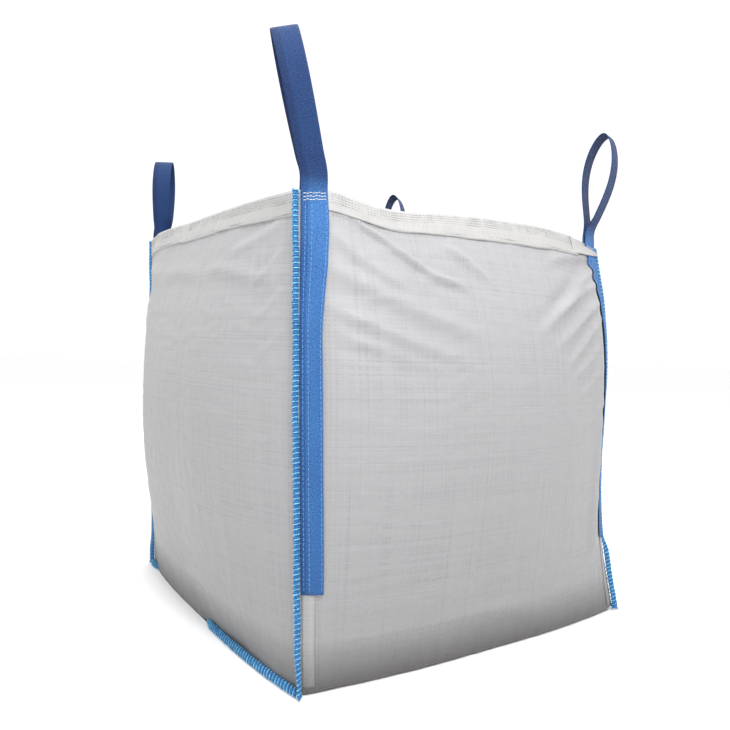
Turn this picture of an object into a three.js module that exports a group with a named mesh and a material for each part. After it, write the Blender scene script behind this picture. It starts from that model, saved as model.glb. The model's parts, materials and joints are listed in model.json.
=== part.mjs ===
// Open-top bulk bag (FIBC) standing full: one U-shaped cloth makes the front, base and back,
// two side panels are sewn into it, and four webbing lifting loops are sewn beside the corners.
// Millimetres, +Z up. Front faces -Y. The origin is under the middle of the bag, on the floor.
import * as THREE from 'three';

// ---- Driving dimensions -------------------------------------------------------------------
const WIDTH = 900; // seam to seam at the floor, left to right
const DEPTH = 960; // seam to seam at the floor, front to back
const HEIGHT = 955; // floor to rim at a seam
const FRONT_BULGE = 105; // how far the middle of the front and back panels stands out
const SIDE_BULGE = 100; // the same for the side panels
const BULGE_POWER = 3; // above 2 the bulge is flatter in the middle and rounder at the seams
const BULGE_START = 0.08; // share of a half wave already reached at the floor and left at the rim
const EDGE_RADIUS = 18; // the cloth rolls under the front and back with this radius

const CLOTH = 3; // wall thickness of a panel, folds and slack included
const HEM_HEIGHT = 48;
const HEM_CLOTH = 1.5;
const HEM_END = 0.008; // the hem stops this share of the width short of the corner seam
const GAP = 0.3; // clearance between touching pieces
const STITCH_GAP = 0.9; // clearance under a row of stitches, which bends on lines of its own

const STRAP_WIDTH = 52;
const STRAP_THICKNESS = 2.6;
const STRAP_FROM_SEAM = 6; // free cloth between the seam and the webbing
const STRAP_LENGTH = 755; // webbing sewn down the panel, measured from the rim

const LOOP_HALF_WIDTH = 34; // half the widest opening between the two legs
const PIVOT_RISE = 18; // the webbing bends this far above the rim

const SEAM_WIDTH = 12; // overlock fin standing out of a corner
const SEAM_THICKNESS = 4.5;
const BASE_SEAM_HEIGHT = 17;
const BASE_SEAM_LIFT = 0.6; // the bottom seams stay just off the floor

const THREAD = 0.8; // how far a row of stitches stands proud
const THREAD_ROW = 1.6; // width of one row of stitches
const TACK_HEIGHT = 14; // three rows of stitches across the root of a loop
const TACK_WIDTH = 46;
const TACK_FROM_RIM = 6;
const STITCH_FROM_EDGE = 16; // long stitch row, from the webbing's seam-side edge

// Each corner: side signs, how far its rim leans away from the plain shape (x, y, z), and how far
// the seam is drawn in: bow at half height, sway at a quarter of it (and out at three quarters).
const CORNERS = {
  front_left: { sx: -1, sy: -1, rim: [-20, 0, 0], bow: -5, sway: 0 },
  front_right: { sx: 1, sy: -1, rim: [-42, 50, -22], bow: 2, sway: 12 },
  back_right: { sx: 1, sy: 1, rim: [-10, -10, 0], bow: 0, sway: 0 },
  back_left: { sx: -1, sy: 1, rim: [-15, 8, 20], bow: -3, sway: 0 },
};

// How each loop stands: pivot to crown, and degrees turned about Z, leaning along the webbing's
// width, and leaning outward.
const LOOPS = {
  front_left: { height: 290, turn: -25, sideLean: -12.5, outLean: 0 },
  front_right: { height: 258, turn: 22, sideLean: 0, outLean: 9 },
  back_right: { height: 250, turn: 24, sideLean: 0, outLean: 3 },
  back_left: { height: 225, turn: -13, sideLean: 0, outLean: 3 },
};

// Each face runs counter-clockwise seen from above, from one corner to the next.
const FACES = {
  front: { from: 'front_left', to: 'front_right', bulge: FRONT_BULGE },
  right: { from: 'front_right', to: 'back_right', bulge: SIDE_BULGE },
  back: { from: 'back_right', to: 'back_left', bulge: FRONT_BULGE },
  left: { from: 'back_left', to: 'front_left', bulge: SIDE_BULGE },
};

// ---- Mesh resolution ----------------------------------------------------------------------
const COLUMNS = 10;
const ROUND_EDGE = 0.05; // a face is divided once more this near a seam, where it is roundest
const WALL_ROWS = 10;
const EDGE_ROWS = 3;
const BASE_ROWS = 4;

// Heights, as shares of the wall, that the hems and the webbing end at.
const wallHeight = HEIGHT - EDGE_RADIUS;
const hemBottom = 1 - HEM_HEIGHT / wallHeight;
const strapBottom = 1 - STRAP_LENGTH / wallHeight;

const fractions = (steps) => Array.from({ length: steps + 1 }, (_, i) => i / steps);

// ---- Materials ----------------------------------------------------------------------------
const cloth = new THREE.MeshStandardMaterial({ color: 0xe8e7e6, roughness: 0.62, metalness: 0 });
const hemCloth = new THREE.MeshStandardMaterial({ color: 0xf2f1ef, roughness: 0.6, metalness: 0 });
const webbing = new THREE.MeshStandardMaterial({ color: 0x3f74b5, roughness: 0.75, metalness: 0 });
const seamThread = new THREE.MeshStandardMaterial({ color: 0x2f8fc4, roughness: 0.7, metalness: 0 });
const whiteThread = new THREE.MeshStandardMaterial({ color: 0xf4f2ee, roughness: 0.7, metalness: 0 });

const bag = new THREE.Group();

function addMesh(name, geometry, material) {
  const mesh = new THREE.Mesh(geometry, material);
  mesh.name = name;
  bag.add(mesh);
  return mesh;
}

// ---- Shape of the filled bag --------------------------------------------------------------
// The seam line of a corner, at a height fraction from 0 (top of the floor roll) to 1 (rim).
function cornerPoint(name, up) {
  const corner = CORNERS[name];
  const drawnIn = corner.bow * Math.sin(Math.PI * up) + corner.sway * Math.sin(2 * Math.PI * up);
  const x = corner.sx * (WIDTH / 2 - drawnIn) + corner.rim[0] * up;
  const y = corner.sy * (DEPTH / 2 - drawnIn) + corner.rim[1] * up;
  const z = EDGE_RADIUS + (HEIGHT - EDGE_RADIUS + corner.rim[2]) * up;
  return new THREE.Vector3(x, y, z);
}

// A point on the outside of a face, across = 0..1 between its seams, up = 0..1 floor to rim.
function facePoint(faceName, across, up) {
  const face = FACES[faceName];
  const start = cornerPoint(face.from, up);
  const end = cornerPoint(face.to, up);
  const outward = end.clone().sub(start);
  outward.set(outward.y, -outward.x, 0).normalize();
  const wave = Math.sin(Math.PI * (BULGE_START + (1 - 2 * BULGE_START) * up));
  const bulge = face.bulge * wave * (1 - Math.abs(2 * across - 1) ** BULGE_POWER);
  return start.lerp(end, across).addScaledVector(outward, bulge);
}

// The same point moved out of the surface by a distance (negative is inward).
function faceOffset(faceName, across, up, distance) {
  const small = 0.004;
  const here = facePoint(faceName, across, up);
  const along = facePoint(faceName, across + small, up).sub(facePoint(faceName, across - small, up));
  const rise = facePoint(faceName, across, Math.min(up + small, 1)).sub(
    facePoint(faceName, across, Math.max(up - small, 0)),
  );
  const normal = along.cross(rise).normalize();
  return here.addScaledVector(normal, distance);
}

function faceWidth(faceName) {
  const face = FACES[faceName];
  return cornerPoint(face.from, 1).distanceTo(cornerPoint(face.to, 1));
}

const hasStraps = (faceName) => faceName === 'front' || faceName === 'back';

// The lines that a face is divided on. Everything on a face bends on the same lines, so layers
// stay parallel.
const upKnots = [...fractions(WALL_ROWS), hemBottom, strapBottom].sort((a, b) => a - b);

function acrossKnots(faceName) {
  if (!hasStraps(faceName)) {
    const inside = fractions(COLUMNS).slice(1, -1);
    return [0, HEM_END, ROUND_EDGE, ...inside, 1 - ROUND_EDGE, 1 - HEM_END, 1];
  }
  const width = faceWidth(faceName);
  const strapLines = [0, STRAP_WIDTH / 2, STRAP_WIDTH].map((d) => (STRAP_FROM_SEAM + d) / width);
  const first = strapLines[2];
  const middle = fractions(COLUMNS).slice(1, -1).map((share) => first + (1 - 2 * first) * share);
  const mirrored = strapLines.map((across) => 1 - across).reverse();
  return [0, ...strapLines, ...middle, ...mirrored, 1];
}

function knotsBetween(knots, low, high) {
  const clear = 1e-4;
  return [low, ...knots.filter((knot) => knot > low + clear && knot < high - clear), high];
}

function bracket(knots, value) {
  const last = knots.length - 2;
  const found = knots.findIndex((knot, i) => i <= last && value <= knots[i + 1]);
  const i = found < 0 ? last : found;
  return { low: knots[i], high: knots[i + 1], share: (value - knots[i]) / (knots[i + 1] - knots[i]) };
}

// A point at a distance out of the divided face.
function onFace(faceName, across, up, distance) {
  const a = bracket(acrossKnots(faceName), across);
  const u = bracket(upKnots, up);
  const at = (x, y) => faceOffset(faceName, x, y, distance);
  const bottom = at(a.low, u.low).lerp(at(a.high, u.low), a.share);
  const top = at(a.low, u.high).lerp(at(a.high, u.high), a.share);
  return bottom.lerp(top, u.share);
}

// ---- Closed solid between two grids of points ---------------------------------------------
// Both grids are [row][column]. Seen from outside, rows go up and columns go to the right.
function slab(outer, inner) {
  const rows = outer.length;
  const columns = outer[0].length;
  const positions = [];
  for (const grid of [outer, inner]) {
    for (const row of grid) {
      for (const point of row) positions.push(point.x, point.y, point.z);
    }
  }
  const out = (r, c) => r * columns + c;
  const inn = (r, c) => rows * columns + r * columns + c;
  const index = [];
  const quad = (a, b, c, d) => index.push(a, b, c, a, c, d);
  for (let r = 0; r < rows - 1; r += 1) {
    for (let c = 0; c < columns - 1; c += 1) {
      quad(out(r, c), out(r, c + 1), out(r + 1, c + 1), out(r + 1, c));
      quad(inn(r, c), inn(r + 1, c), inn(r + 1, c + 1), inn(r, c + 1));
    }
  }
  const lastRow = rows - 1;
  const lastColumn = columns - 1;
  for (let c = 0; c < lastColumn; c += 1) {
    quad(out(0, c), inn(0, c), inn(0, c + 1), out(0, c + 1));
    quad(out(lastRow, c), out(lastRow, c + 1), inn(lastRow, c + 1), inn(lastRow, c));
  }
  for (let r = 0; r < lastRow; r += 1) {
    quad(out(r, 0), out(r + 1, 0), inn(r + 1, 0), inn(r, 0));
    quad(out(r, lastColumn), inn(r, lastColumn), inn(r + 1, lastColumn), out(r + 1, lastColumn));
  }
  const geometry = new THREE.BufferGeometry();
  geometry.setAttribute('position', new THREE.Float32BufferAttribute(positions, 3));
  geometry.setIndex(index);
  geometry.computeVertexNormals();
  return geometry;
}

// A band that lies on a face: its range across and up, and two distances out of the surface.
function band(faceName, [left, right], [low, high], near, far) {
  const acrossList = knotsBetween(acrossKnots(faceName), left, right);
  const upList = knotsBetween(upKnots, low, high);
  const grid = (distance) =>
    upList.map((up) => acrossList.map((across) => onFace(faceName, across, up, distance)));
  return slab(grid(far), grid(near));
}

// ---- Panels -------------------------------------------------------------------------------
// At a corner the two panels meet on a mitre: each stops a gap short of the seam line, and its
// inner edge goes in along the diagonal.
function mitre(seamPoint, cornerName, alongX, depth) {
  const corner = CORNERS[cornerName];
  const reach = depth * 0.77;
  return new THREE.Vector3(
    seamPoint.x - corner.sx * (reach + (alongX ? GAP : 0)),
    seamPoint.y - corner.sy * (reach + (alongX ? 0 : GAP)),
    seamPoint.z,
  );
}

function wallRow(faceName, up, depth) {
  const face = FACES[faceName];
  return acrossKnots(faceName).map((across) => {
    const outer = facePoint(faceName, across, up);
    if (across === 0) return mitre(outer, face.from, hasStraps(faceName), depth);
    if (across === 1) return mitre(outer, face.to, hasStraps(faceName), depth);
    return faceOffset(faceName, across, up, -depth);
  });
}

// The roll under a front or back edge: from the wall at height EDGE_RADIUS down to the floor.
function rollRow(faceName, angle, depth) {
  const radius = EDGE_RADIUS - depth;
  const inward = faceName === 'front' ? 1 : -1;
  return wallRow(faceName, 0, 0).map((start) => {
    const y = start.y + inward * (EDGE_RADIUS - radius * Math.cos(angle));
    return new THREE.Vector3(start.x, y, EDGE_RADIUS - radius * Math.sin(angle));
  });
}

// The flat base between the two rolls; its free edges follow the floor line of the side panels.
function baseRow(share, depth) {
  const across = acrossKnots('front');
  const front = rollRow('front', Math.PI / 2, 0);
  const back = rollRow('back', Math.PI / 2, 0).reverse();
  return front.map((start, c) => {
    const y = THREE.MathUtils.lerp(start.y, back[c].y, share);
    const edgeShare = THREE.MathUtils.clamp((y + DEPTH / 2) / DEPTH, 0, 1);
    const left = facePoint('left', 1 - edgeShare, 0).x + GAP;
    const right = facePoint('right', edgeShare, 0).x - GAP;
    return new THREE.Vector3(THREE.MathUtils.lerp(left, right, across[c]), y, depth);
  });
}

function uPanel() {
  const sheet = (depth) => {
    const angles = fractions(EDGE_ROWS).map((share) => (share * Math.PI) / 2);
    const frontDown = upKnots.map((up) => wallRow('front', up, depth)).reverse();
    const frontRoll = angles.slice(1).map((angle) => rollRow('front', angle, depth));
    const base = fractions(BASE_ROWS).slice(1, -1).map((share) => baseRow(share, depth));
    const backRoll = angles.slice(1).reverse().map((angle) => rollRow('back', angle, depth).reverse());
    const backUp = upKnots.map((up) => wallRow('back', up, depth).reverse());
    return [...frontDown, ...frontRoll, ...base, ...backRoll, ...backUp].reverse();
  };
  return slab(sheet(0), sheet(CLOTH));
}

function sidePanel(faceName) {
  const sheet = (depth) => upKnots.map((up) => wallRow(faceName, up, depth));
  return slab(sheet(0), sheet(CLOTH));
}

// ---- Rim hems -----------------------------------------------------------------------------
const stitchNear = GAP + HEM_CLOTH + STITCH_GAP;

function hem(faceName) {
  return band(faceName, [HEM_END, 1 - HEM_END], [hemBottom, 1], GAP, GAP + HEM_CLOTH);
}

// The stitches run between the two straps on the front and back, and seam to seam on the sides.
function hemStitch(faceName) {
  const sewnOver = STRAP_FROM_SEAM + STRAP_WIDTH + 2;
  const margin = (hasStraps(faceName) ? sewnOver : 10) / faceWidth(faceName);
  const row = THREAD_ROW / wallHeight;
  const low = hemBottom + 4 * row;
  return band(faceName, [margin, 1 - margin], [low, low + row], stitchNear, stitchNear + THREAD);
}

// ---- Webbing sewn down the panels ---------------------------------------------------------
const strapNear = 2 * GAP + HEM_CLOTH; // clears the hem
const onStrap = strapNear + STRAP_THICKNESS + STITCH_GAP;

// A range across a face, measured from the strap's seam-side edge.
function strapRange(faceName, atStart, from, to) {
  const width = faceWidth(faceName);
  const low = (STRAP_FROM_SEAM + from) / width;
  const high = (STRAP_FROM_SEAM + to) / width;
  return atStart ? [low, high] : [1 - high, 1 - low];
}

function strap(faceName, atStart, near, far) {
  return band(faceName, strapRange(faceName, atStart, 0, STRAP_WIDTH), [strapBottom, 1], near, far);
}

function longStitch(faceName, atStart) {
  const range = strapRange(faceName, atStart, STITCH_FROM_EDGE, STITCH_FROM_EDGE + THREAD_ROW);
  const top = 1 - (2 * TACK_HEIGHT) / wallHeight;
  return band(faceName, range, [strapBottom + 0.01, top], onStrap, onStrap + THREAD);
}

function tack(faceName, atStart) {
  const margin = (STRAP_WIDTH - TACK_WIDTH) / 2;
  const range = strapRange(faceName, atStart, margin, STRAP_WIDTH - margin);
  const top = 1 - TACK_FROM_RIM / wallHeight;
  return band(faceName, range, [top - TACK_HEIGHT / wallHeight, top], onStrap, onStrap + THREAD);
}

// ---- Lifting loops ------------------------------------------------------------------------
// Half the distance between the legs' centre lines at a height above the pivot: close together at
// the root, widest at two thirds of the height and round at the crown.
function loopHalfWidth(share) {
  return LOOP_HALF_WIDTH * Math.sin(Math.PI * share ** 1.55) ** 0.8;
}

function loopOutline(height, offset) {
  const legSteps = 12;
  const leastHalf = STRAP_THICKNESS / 2 + GAP;
  const points = [];
  for (let i = 0; i <= legSteps; i += 1) {
    const share = 0.5 - 0.5 * Math.cos((Math.PI * i) / legSteps);
    const half = Math.max(loopHalfWidth(Math.min(share, 1)), leastHalf);
    points.push(new THREE.Vector2(half, share * height));
  }
  const moved = points.map((point, i) => {
    const before = points[Math.max(i - 1, 0)];
    const after = i === legSteps ? new THREE.Vector2(-before.x, before.y) : points[i + 1];
    const normal = new THREE.Vector2(after.y - before.y, before.x - after.x).normalize();
    return point.clone().addScaledVector(normal, offset);
  });
  moved[legSteps].x = 0;
  const mirrored = moved.slice(0, -1).reverse().map((point) => new THREE.Vector2(-point.x, point.y));
  return [...moved, ...mirrored];
}

function liftLoop(height) {
  const half = STRAP_THICKNESS / 2;
  const shape = new THREE.Shape(loopOutline(height, half));
  const eye = loopOutline(height, -half).filter((point) => point.y > 2 * STRAP_THICKNESS);
  shape.holes.push(new THREE.Path(eye.reverse()));
  const geometry = new THREE.ExtrudeGeometry(shape, { depth: STRAP_WIDTH, bevelEnabled: false });
  geometry.translate(0, 0, -STRAP_WIDTH / 2);
  // Outline X is the outward direction, outline Y is up, and the extrusion is the webbing's width.
  const basis = new THREE.Matrix4().makeBasis(
    new THREE.Vector3(0, -1, 0),
    new THREE.Vector3(0, 0, 1),
    new THREE.Vector3(-1, 0, 0),
  );
  return geometry.applyMatrix4(basis);
}

// The pivot sits above the middle of the layers that the loop is sewn to.
function pivotPoint(faceName, atStart) {
  const [across] = strapRange(faceName, atStart, STRAP_WIDTH / 2, STRAP_WIDTH / 2);
  const point = faceOffset(faceName, across, 1, -CLOTH / 2);
  point.z += PIVOT_RISE;
  return point;
}

function placeLoop(mesh, faceName, atStart) {
  const loop = LOOPS[atStart ? FACES[faceName].from : FACES[faceName].to];
  const facing = faceName === 'front' ? 0 : 180;
  const turned = new THREE.Group();
  turned.position.copy(pivotPoint(faceName, atStart));
  turned.rotation.z = THREE.MathUtils.degToRad(facing + loop.turn);
  mesh.rotation.x = THREE.MathUtils.degToRad(loop.outLean);
  mesh.rotation.y = THREE.MathUtils.degToRad(loop.sideLean);
  turned.add(mesh);
  bag.add(turned);
}

// ---- Overlock seams -----------------------------------------------------------------------
// A flat fin that stands out of a corner along the diagonal, from the floor roll to the rim.
function cornerSeam(name) {
  const corner = CORNERS[name];
  const out = new THREE.Vector3(corner.sx, corner.sy, 0).normalize();
  const side = new THREE.Vector3(-out.y, out.x, 0);
  const grid = (sign) =>
    upKnots.map((up) => {
      const seam = cornerPoint(name, up);
      const place = (distance) =>
        seam.clone().addScaledVector(out, distance).addScaledVector(side, (sign * SEAM_THICKNESS) / 2);
      return [place(SEAM_WIDTH), place(2 * GAP)];
    });
  return slab(grid(1), grid(-1));
}

// The seam that joins the base to a side panel: a low bar along the panel's floor line.
function baseSeam(faceName) {
  const outwardSign = faceName === 'left' ? -1 : 1;
  const inset = 0.02; // stops short of the corner seams
  const shares = fractions(COLUMNS).map((share) => inset + (1 - 2 * inset) * share);
  const grid = (distance) =>
    [BASE_SEAM_LIFT, BASE_SEAM_LIFT + BASE_SEAM_HEIGHT].map((z) =>
      shares.map((across) => {
        const point = facePoint(faceName, across, 0);
        return new THREE.Vector3(point.x + outwardSign * distance, point.y, z);
      }),
    );
  return slab(grid(GAP + SEAM_THICKNESS), grid(GAP));
}

// ---- Assembly -----------------------------------------------------------------------------
addMesh('u_panel', uPanel(), cloth);
for (const side of ['left', 'right']) {
  addMesh(`side_panel_${side}`, sidePanel(side), cloth);
  addMesh(`base_seam_${side}`, baseSeam(side), seamThread);
}
for (const faceName of Object.keys(FACES)) {
  addMesh(`rim_hem_${faceName}`, hem(faceName), hemCloth);
  addMesh(`hem_stitch_${faceName}`, hemStitch(faceName), whiteThread);
}
for (const name of Object.keys(CORNERS)) {
  addMesh(`corner_seam_${name}`, cornerSeam(name), seamThread);
}
for (const faceName of ['front', 'back']) {
  for (const atStart of [true, false]) {
    const name = atStart ? FACES[faceName].from : FACES[faceName].to;
    const innerNear = -CLOTH - GAP;
    addMesh(`strap_outer_${name}`, strap(faceName, atStart, strapNear, strapNear + STRAP_THICKNESS), webbing);
    addMesh(`strap_inner_${name}`, strap(faceName, atStart, innerNear - STRAP_THICKNESS, innerNear), webbing);
    addMesh(`strap_stitch_${name}`, longStitch(faceName, atStart), whiteThread);
    addMesh(`loop_tack_${name}`, tack(faceName, atStart), whiteThread);
    placeLoop(addMesh(`lift_loop_${name}`, liftLoop(LOOPS[name].height), webbing), faceName, atStart);
  }
}

// Centre the bag over the origin.
bag.updateMatrixWorld(true);
const bounds = new THREE.Box3().setFromObject(bag, true);
const middle = bounds.getCenter(new THREE.Vector3());
bag.position.set(-middle.x, -middle.y, -bounds.min.z);

export default bag;
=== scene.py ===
"""An open-top bulk bag, standing full: woven cloth, blue webbing loops and overlocked seams."""
import json
import math

import bpy
import numpy as np
from mathutils import Matrix, Vector


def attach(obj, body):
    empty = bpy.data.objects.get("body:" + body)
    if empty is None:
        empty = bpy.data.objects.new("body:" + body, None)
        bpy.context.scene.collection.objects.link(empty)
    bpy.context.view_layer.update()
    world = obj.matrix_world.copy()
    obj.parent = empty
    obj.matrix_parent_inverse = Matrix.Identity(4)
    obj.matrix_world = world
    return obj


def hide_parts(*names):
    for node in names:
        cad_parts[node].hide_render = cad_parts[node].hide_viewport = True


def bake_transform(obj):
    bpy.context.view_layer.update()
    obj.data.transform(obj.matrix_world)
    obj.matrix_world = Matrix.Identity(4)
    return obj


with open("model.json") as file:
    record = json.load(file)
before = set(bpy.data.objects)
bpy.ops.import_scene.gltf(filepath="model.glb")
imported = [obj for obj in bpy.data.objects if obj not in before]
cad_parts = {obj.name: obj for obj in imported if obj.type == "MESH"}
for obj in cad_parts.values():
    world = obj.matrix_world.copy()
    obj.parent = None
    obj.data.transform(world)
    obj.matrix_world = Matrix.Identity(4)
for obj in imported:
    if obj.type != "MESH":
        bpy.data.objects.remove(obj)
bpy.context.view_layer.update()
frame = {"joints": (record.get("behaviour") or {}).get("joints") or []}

# ---- Driving sizes, in metres --------------------------------------------------------------
WIDTH = 0.900          # seam to seam at the floor, left to right
DEPTH = 0.960          # seam to seam at the floor, front to back
HEIGHT = 0.955         # floor to rim at a seam
FRONT_BULGE = 0.105
SIDE_BULGE = 0.100
BULGE_POWER = 3        # above 2 the bulge is flatter in the middle and rounder at the seams
BULGE_START = 0.08     # share of a half wave already reached at the floor and left at the rim
PLACE = (0.01288, -0.00516)   # the frame is centred on the bulges and loops, not on the seams
EDGE_RADIUS = 0.018    # the cloth rolls under the front and back with this radius

CLOTH = 0.0011         # woven cloth as shown
HEM_HEIGHT = 0.048
STRAP_WIDTH = 0.052
STRAP_THICKNESS = 0.0026
STRAP_FROM_SEAM = 0.006
STRAP_LENGTH = 0.755
STRAP_LIFT = 0.0034    # middle of the outer webbing above the cloth
INNER_LIFT = -0.0046   # middle of the inner webbing behind the cloth
WEBBING_CREASE = 0.0150   # the sewn webbing creases this far from its seam-side edge
LOOP_HALF_WIDTH = 0.034
EDGE_FOLD = 0.029      # turned-in cloth edge beside each corner seam

WALL_HEIGHT = HEIGHT - EDGE_RADIUS
HEM_UP = 1 - HEM_HEIGHT / WALL_HEIGHT
STRAP_UP = 1 - STRAP_LENGTH / WALL_HEIGHT

# Side signs, how far the rim leans (x, y, z), how far the seam is drawn in at half height (bow)
# and at a quarter of it (sway), and the loop: its height, and degrees turned, leaning along the
# webbing's width, and leaning outward.
CORNERS = {
    "front_left": dict(side=(-1, -1), rim=(-0.020, 0.0, 0.0), bow=-0.005, sway=0.0,
                       loop=0.290, turn=-25, side_lean=-12.5, out_lean=0),
    "front_right": dict(side=(1, -1), rim=(-0.042, 0.050, -0.022), bow=0.002, sway=0.012,
                        loop=0.258, turn=22, side_lean=0, out_lean=9),
    "back_right": dict(side=(1, 1), rim=(-0.010, -0.010, 0.0), bow=0.0, sway=0.0,
                       loop=0.254, turn=34, side_lean=-9, out_lean=3),
    "back_left": dict(side=(-1, 1), rim=(-0.015, 0.008, 0.020), bow=-0.003, sway=0.0,
                      loop=0.225, turn=-30, side_lean=0, out_lean=3),
}
FACES = {
    "front": ("front_left", "front_right", FRONT_BULGE),
    "right": ("front_right", "back_right", SIDE_BULGE),
    "back": ("back_right", "back_left", FRONT_BULGE),
    "left": ("back_left", "front_left", SIDE_BULGE),
}


# ---- Camera --------------------------------------------------------------------------------
CAMERA_FROM_FOOT = (-1.069, -1.651, 0.667)   # measured from the middle of the bag's foot
CAMERA_TURN = (32.63, -1.44, 1.0)            # yaw, pitch and roll, in degrees
SENSOR = 36                                  # millimetres
LENS = 34.8


def make_camera():
    x, y, z = CAMERA_FROM_FOOT
    place = Vector((x + PLACE[0], y + PLACE[1], z))
    yaw, pitch, roll = (math.radians(angle) for angle in CAMERA_TURN)
    level = math.cos(pitch)
    ahead = Vector((math.sin(yaw) * level, math.cos(yaw) * level, math.sin(pitch)))
    right = Vector((math.cos(yaw), -math.sin(yaw), 0))
    up = right.cross(ahead)
    turned_right = right * math.cos(roll) + up * math.sin(roll)
    turned_up = up * math.cos(roll) - right * math.sin(roll)
    camera = bpy.data.objects.new("camera", bpy.data.cameras.new("camera"))
    bpy.context.collection.objects.link(camera)
    rows = zip(turned_right, turned_up, -ahead, place)
    camera.matrix_world = Matrix([list(row) for row in rows] + [[0, 0, 0, 1]])
    camera.data.sensor_width = SENSOR
    camera.data.lens = LENS
    camera.data.dof.use_dof = False
    bpy.context.scene.camera = camera


# ---- Small helpers -------------------------------------------------------------------------
def smooth(low, high, x):
    """A soft step from 0 at low to 1 at high; low may be the larger of the two."""
    t = np.clip((x - low) / (high - low), 0, 1)
    return t * t * (3 - 2 * t)


def noise(x, y, seed):
    """Smooth noise from -1 to 1 with one bump per unit of x and y, the same on every run."""

    def value(i, j):
        wave = np.sin(i * 127.1 + j * 311.7 + seed * 74.7) * 43758.5453
        return 2 * (wave - np.floor(wave)) - 1
    ix, iy = np.floor(x), np.floor(y)
    fx, fy = x - ix, y - iy
    fx, fy = fx * fx * (3 - 2 * fx), fy * fy * (3 - 2 * fy)
    low = value(ix, iy) * (1 - fx) + value(ix + 1, iy) * fx
    high = value(ix, iy + 1) * (1 - fx) + value(ix + 1, iy + 1) * fx
    return low * (1 - fy) + high * fy


def vector(x, y, z):
    """Points or directions from three numbers or arrays."""
    return np.stack(np.broadcast_arrays(x, y, z), axis=-1).astype(float)


def unit(v):
    return v / np.maximum(np.linalg.norm(v, axis=-1, keepdims=True), 1e-12)


def distance_along(path):
    """Distance along a path from its first point to each of its points."""
    return np.concatenate([[0], np.cumsum(np.linalg.norm(np.diff(path, axis=0), axis=1))])


def new_object(name, points, faces, material, cloth_co=None):
    mesh = bpy.data.meshes.new(name)
    mesh.from_pydata(np.asarray(points).tolist(), [], faces)
    mesh.materials.append(material)
    mesh.shade_smooth()
    if cloth_co is not None:
        attribute = mesh.attributes.new("cloth_co", "FLOAT_VECTOR", "POINT")
        attribute.data.foreach_set("vector", np.asarray(cloth_co, np.float32).ravel())
    obj = bpy.data.objects.new(name, mesh)
    bpy.context.collection.objects.link(obj)
    return obj


def slab_faces(rows, columns):
    """Quads of the closed solid between two grids of rows x columns points, outer grid first."""
    index = np.arange(rows * columns).reshape(rows, columns)
    inner = index + rows * columns
    quads = []

    def strip(a, b, c, d):
        quads.append(np.stack([a.ravel(), b.ravel(), c.ravel(), d.ravel()], axis=1))

    strip(index[:-1, :-1], index[:-1, 1:], index[1:, 1:], index[1:, :-1])
    strip(inner[:-1, :-1], inner[1:, :-1], inner[1:, 1:], inner[:-1, 1:])
    strip(index[0, :-1], inner[0, :-1], inner[0, 1:], index[0, 1:])
    strip(index[-1, :-1], index[-1, 1:], inner[-1, 1:], inner[-1, :-1])
    strip(index[:-1, 0], index[1:, 0], inner[1:, 0], inner[:-1, 0])
    strip(index[:-1, -1], inner[:-1, -1], inner[1:, -1], index[1:, -1])
    return np.concatenate(quads).tolist()


def slab(name, outer, inner, material, co):
    """A closed sheet between two grids of points. co holds the cloth's own coordinates, in metres,
    which its weave follows."""
    rows, columns = outer.shape[:2]
    points = np.concatenate([outer.reshape(-1, 3), inner.reshape(-1, 3)])
    cloth_co = np.concatenate([co.reshape(-1, 3)] * 2)
    return new_object(name, points, slab_faces(rows, columns), material, cloth_co)


def grid_normals(grid):
    across = np.gradient(grid, axis=1)
    up = np.gradient(grid, axis=0)
    return unit(np.cross(across, up))


# ---- Shape of the filled bag ---------------------------------------------------------------
def corner_point(name, up):
    """Points on a corner seam, at up from 0 at the floor to 1 at the rim."""
    corner = CORNERS[name]
    up = np.asarray(up, float)
    bent = np.clip(up, 0, 1)
    drawn_in = corner["bow"] * np.sin(math.pi * bent) + corner["sway"] * np.sin(2 * math.pi * bent)
    x = PLACE[0] + corner["side"][0] * (WIDTH / 2 - drawn_in) + corner["rim"][0] * up
    y = PLACE[1] + corner["side"][1] * (DEPTH / 2 - drawn_in) + corner["rim"][1] * up
    z = EDGE_RADIUS + (WALL_HEIGHT + corner["rim"][2]) * up
    return vector(x, y, z)


# How the rim rises and dips between the corners: (metres from the face's first seam, height).
RIM_LINE = {
    "front": ((0, 0), (0.06, 0.009), (0.11, -0.003), (0.18, -0.012), (0.24, -0.010), (0.34, 0.001),
              (0.45, 0.009), (0.65, 0.016), (0.77, 0.011), (0.87, -0.002)),
    "left": ((0, 0), (0.13, 0.007), (0.43, -0.001), (0.95, 0)),
    "back": ((0, 0), (0.20, -0.008), (0.45, 0.008), (0.70, 0.010), (0.90, 0)),
    "right": ((0, 0), (0.25, 0.008), (0.55, 0.002), (0.75, -0.006), (0.93, 0)),
}


RIM_ROUNDING = 0.02   # the rim line's corners are averaged over this distance either way
RIM_REACH = 0.82      # the rim line draws the cloth up or down from this height


def rim_rise(face, s):
    places, heights = zip(*RIM_LINE[face])
    low = np.interp(s - RIM_ROUNDING, places, heights)
    high = np.interp(s + RIM_ROUNDING, places, heights)
    return (low + np.interp(s, places, heights) + high) / 3


def face_width(face):
    """Seam to seam, at the rim."""
    start, end, _ = FACES[face]
    one = np.array(1.0)
    return float(np.linalg.norm(corner_point(start, one) - corner_point(end, one)))


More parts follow.
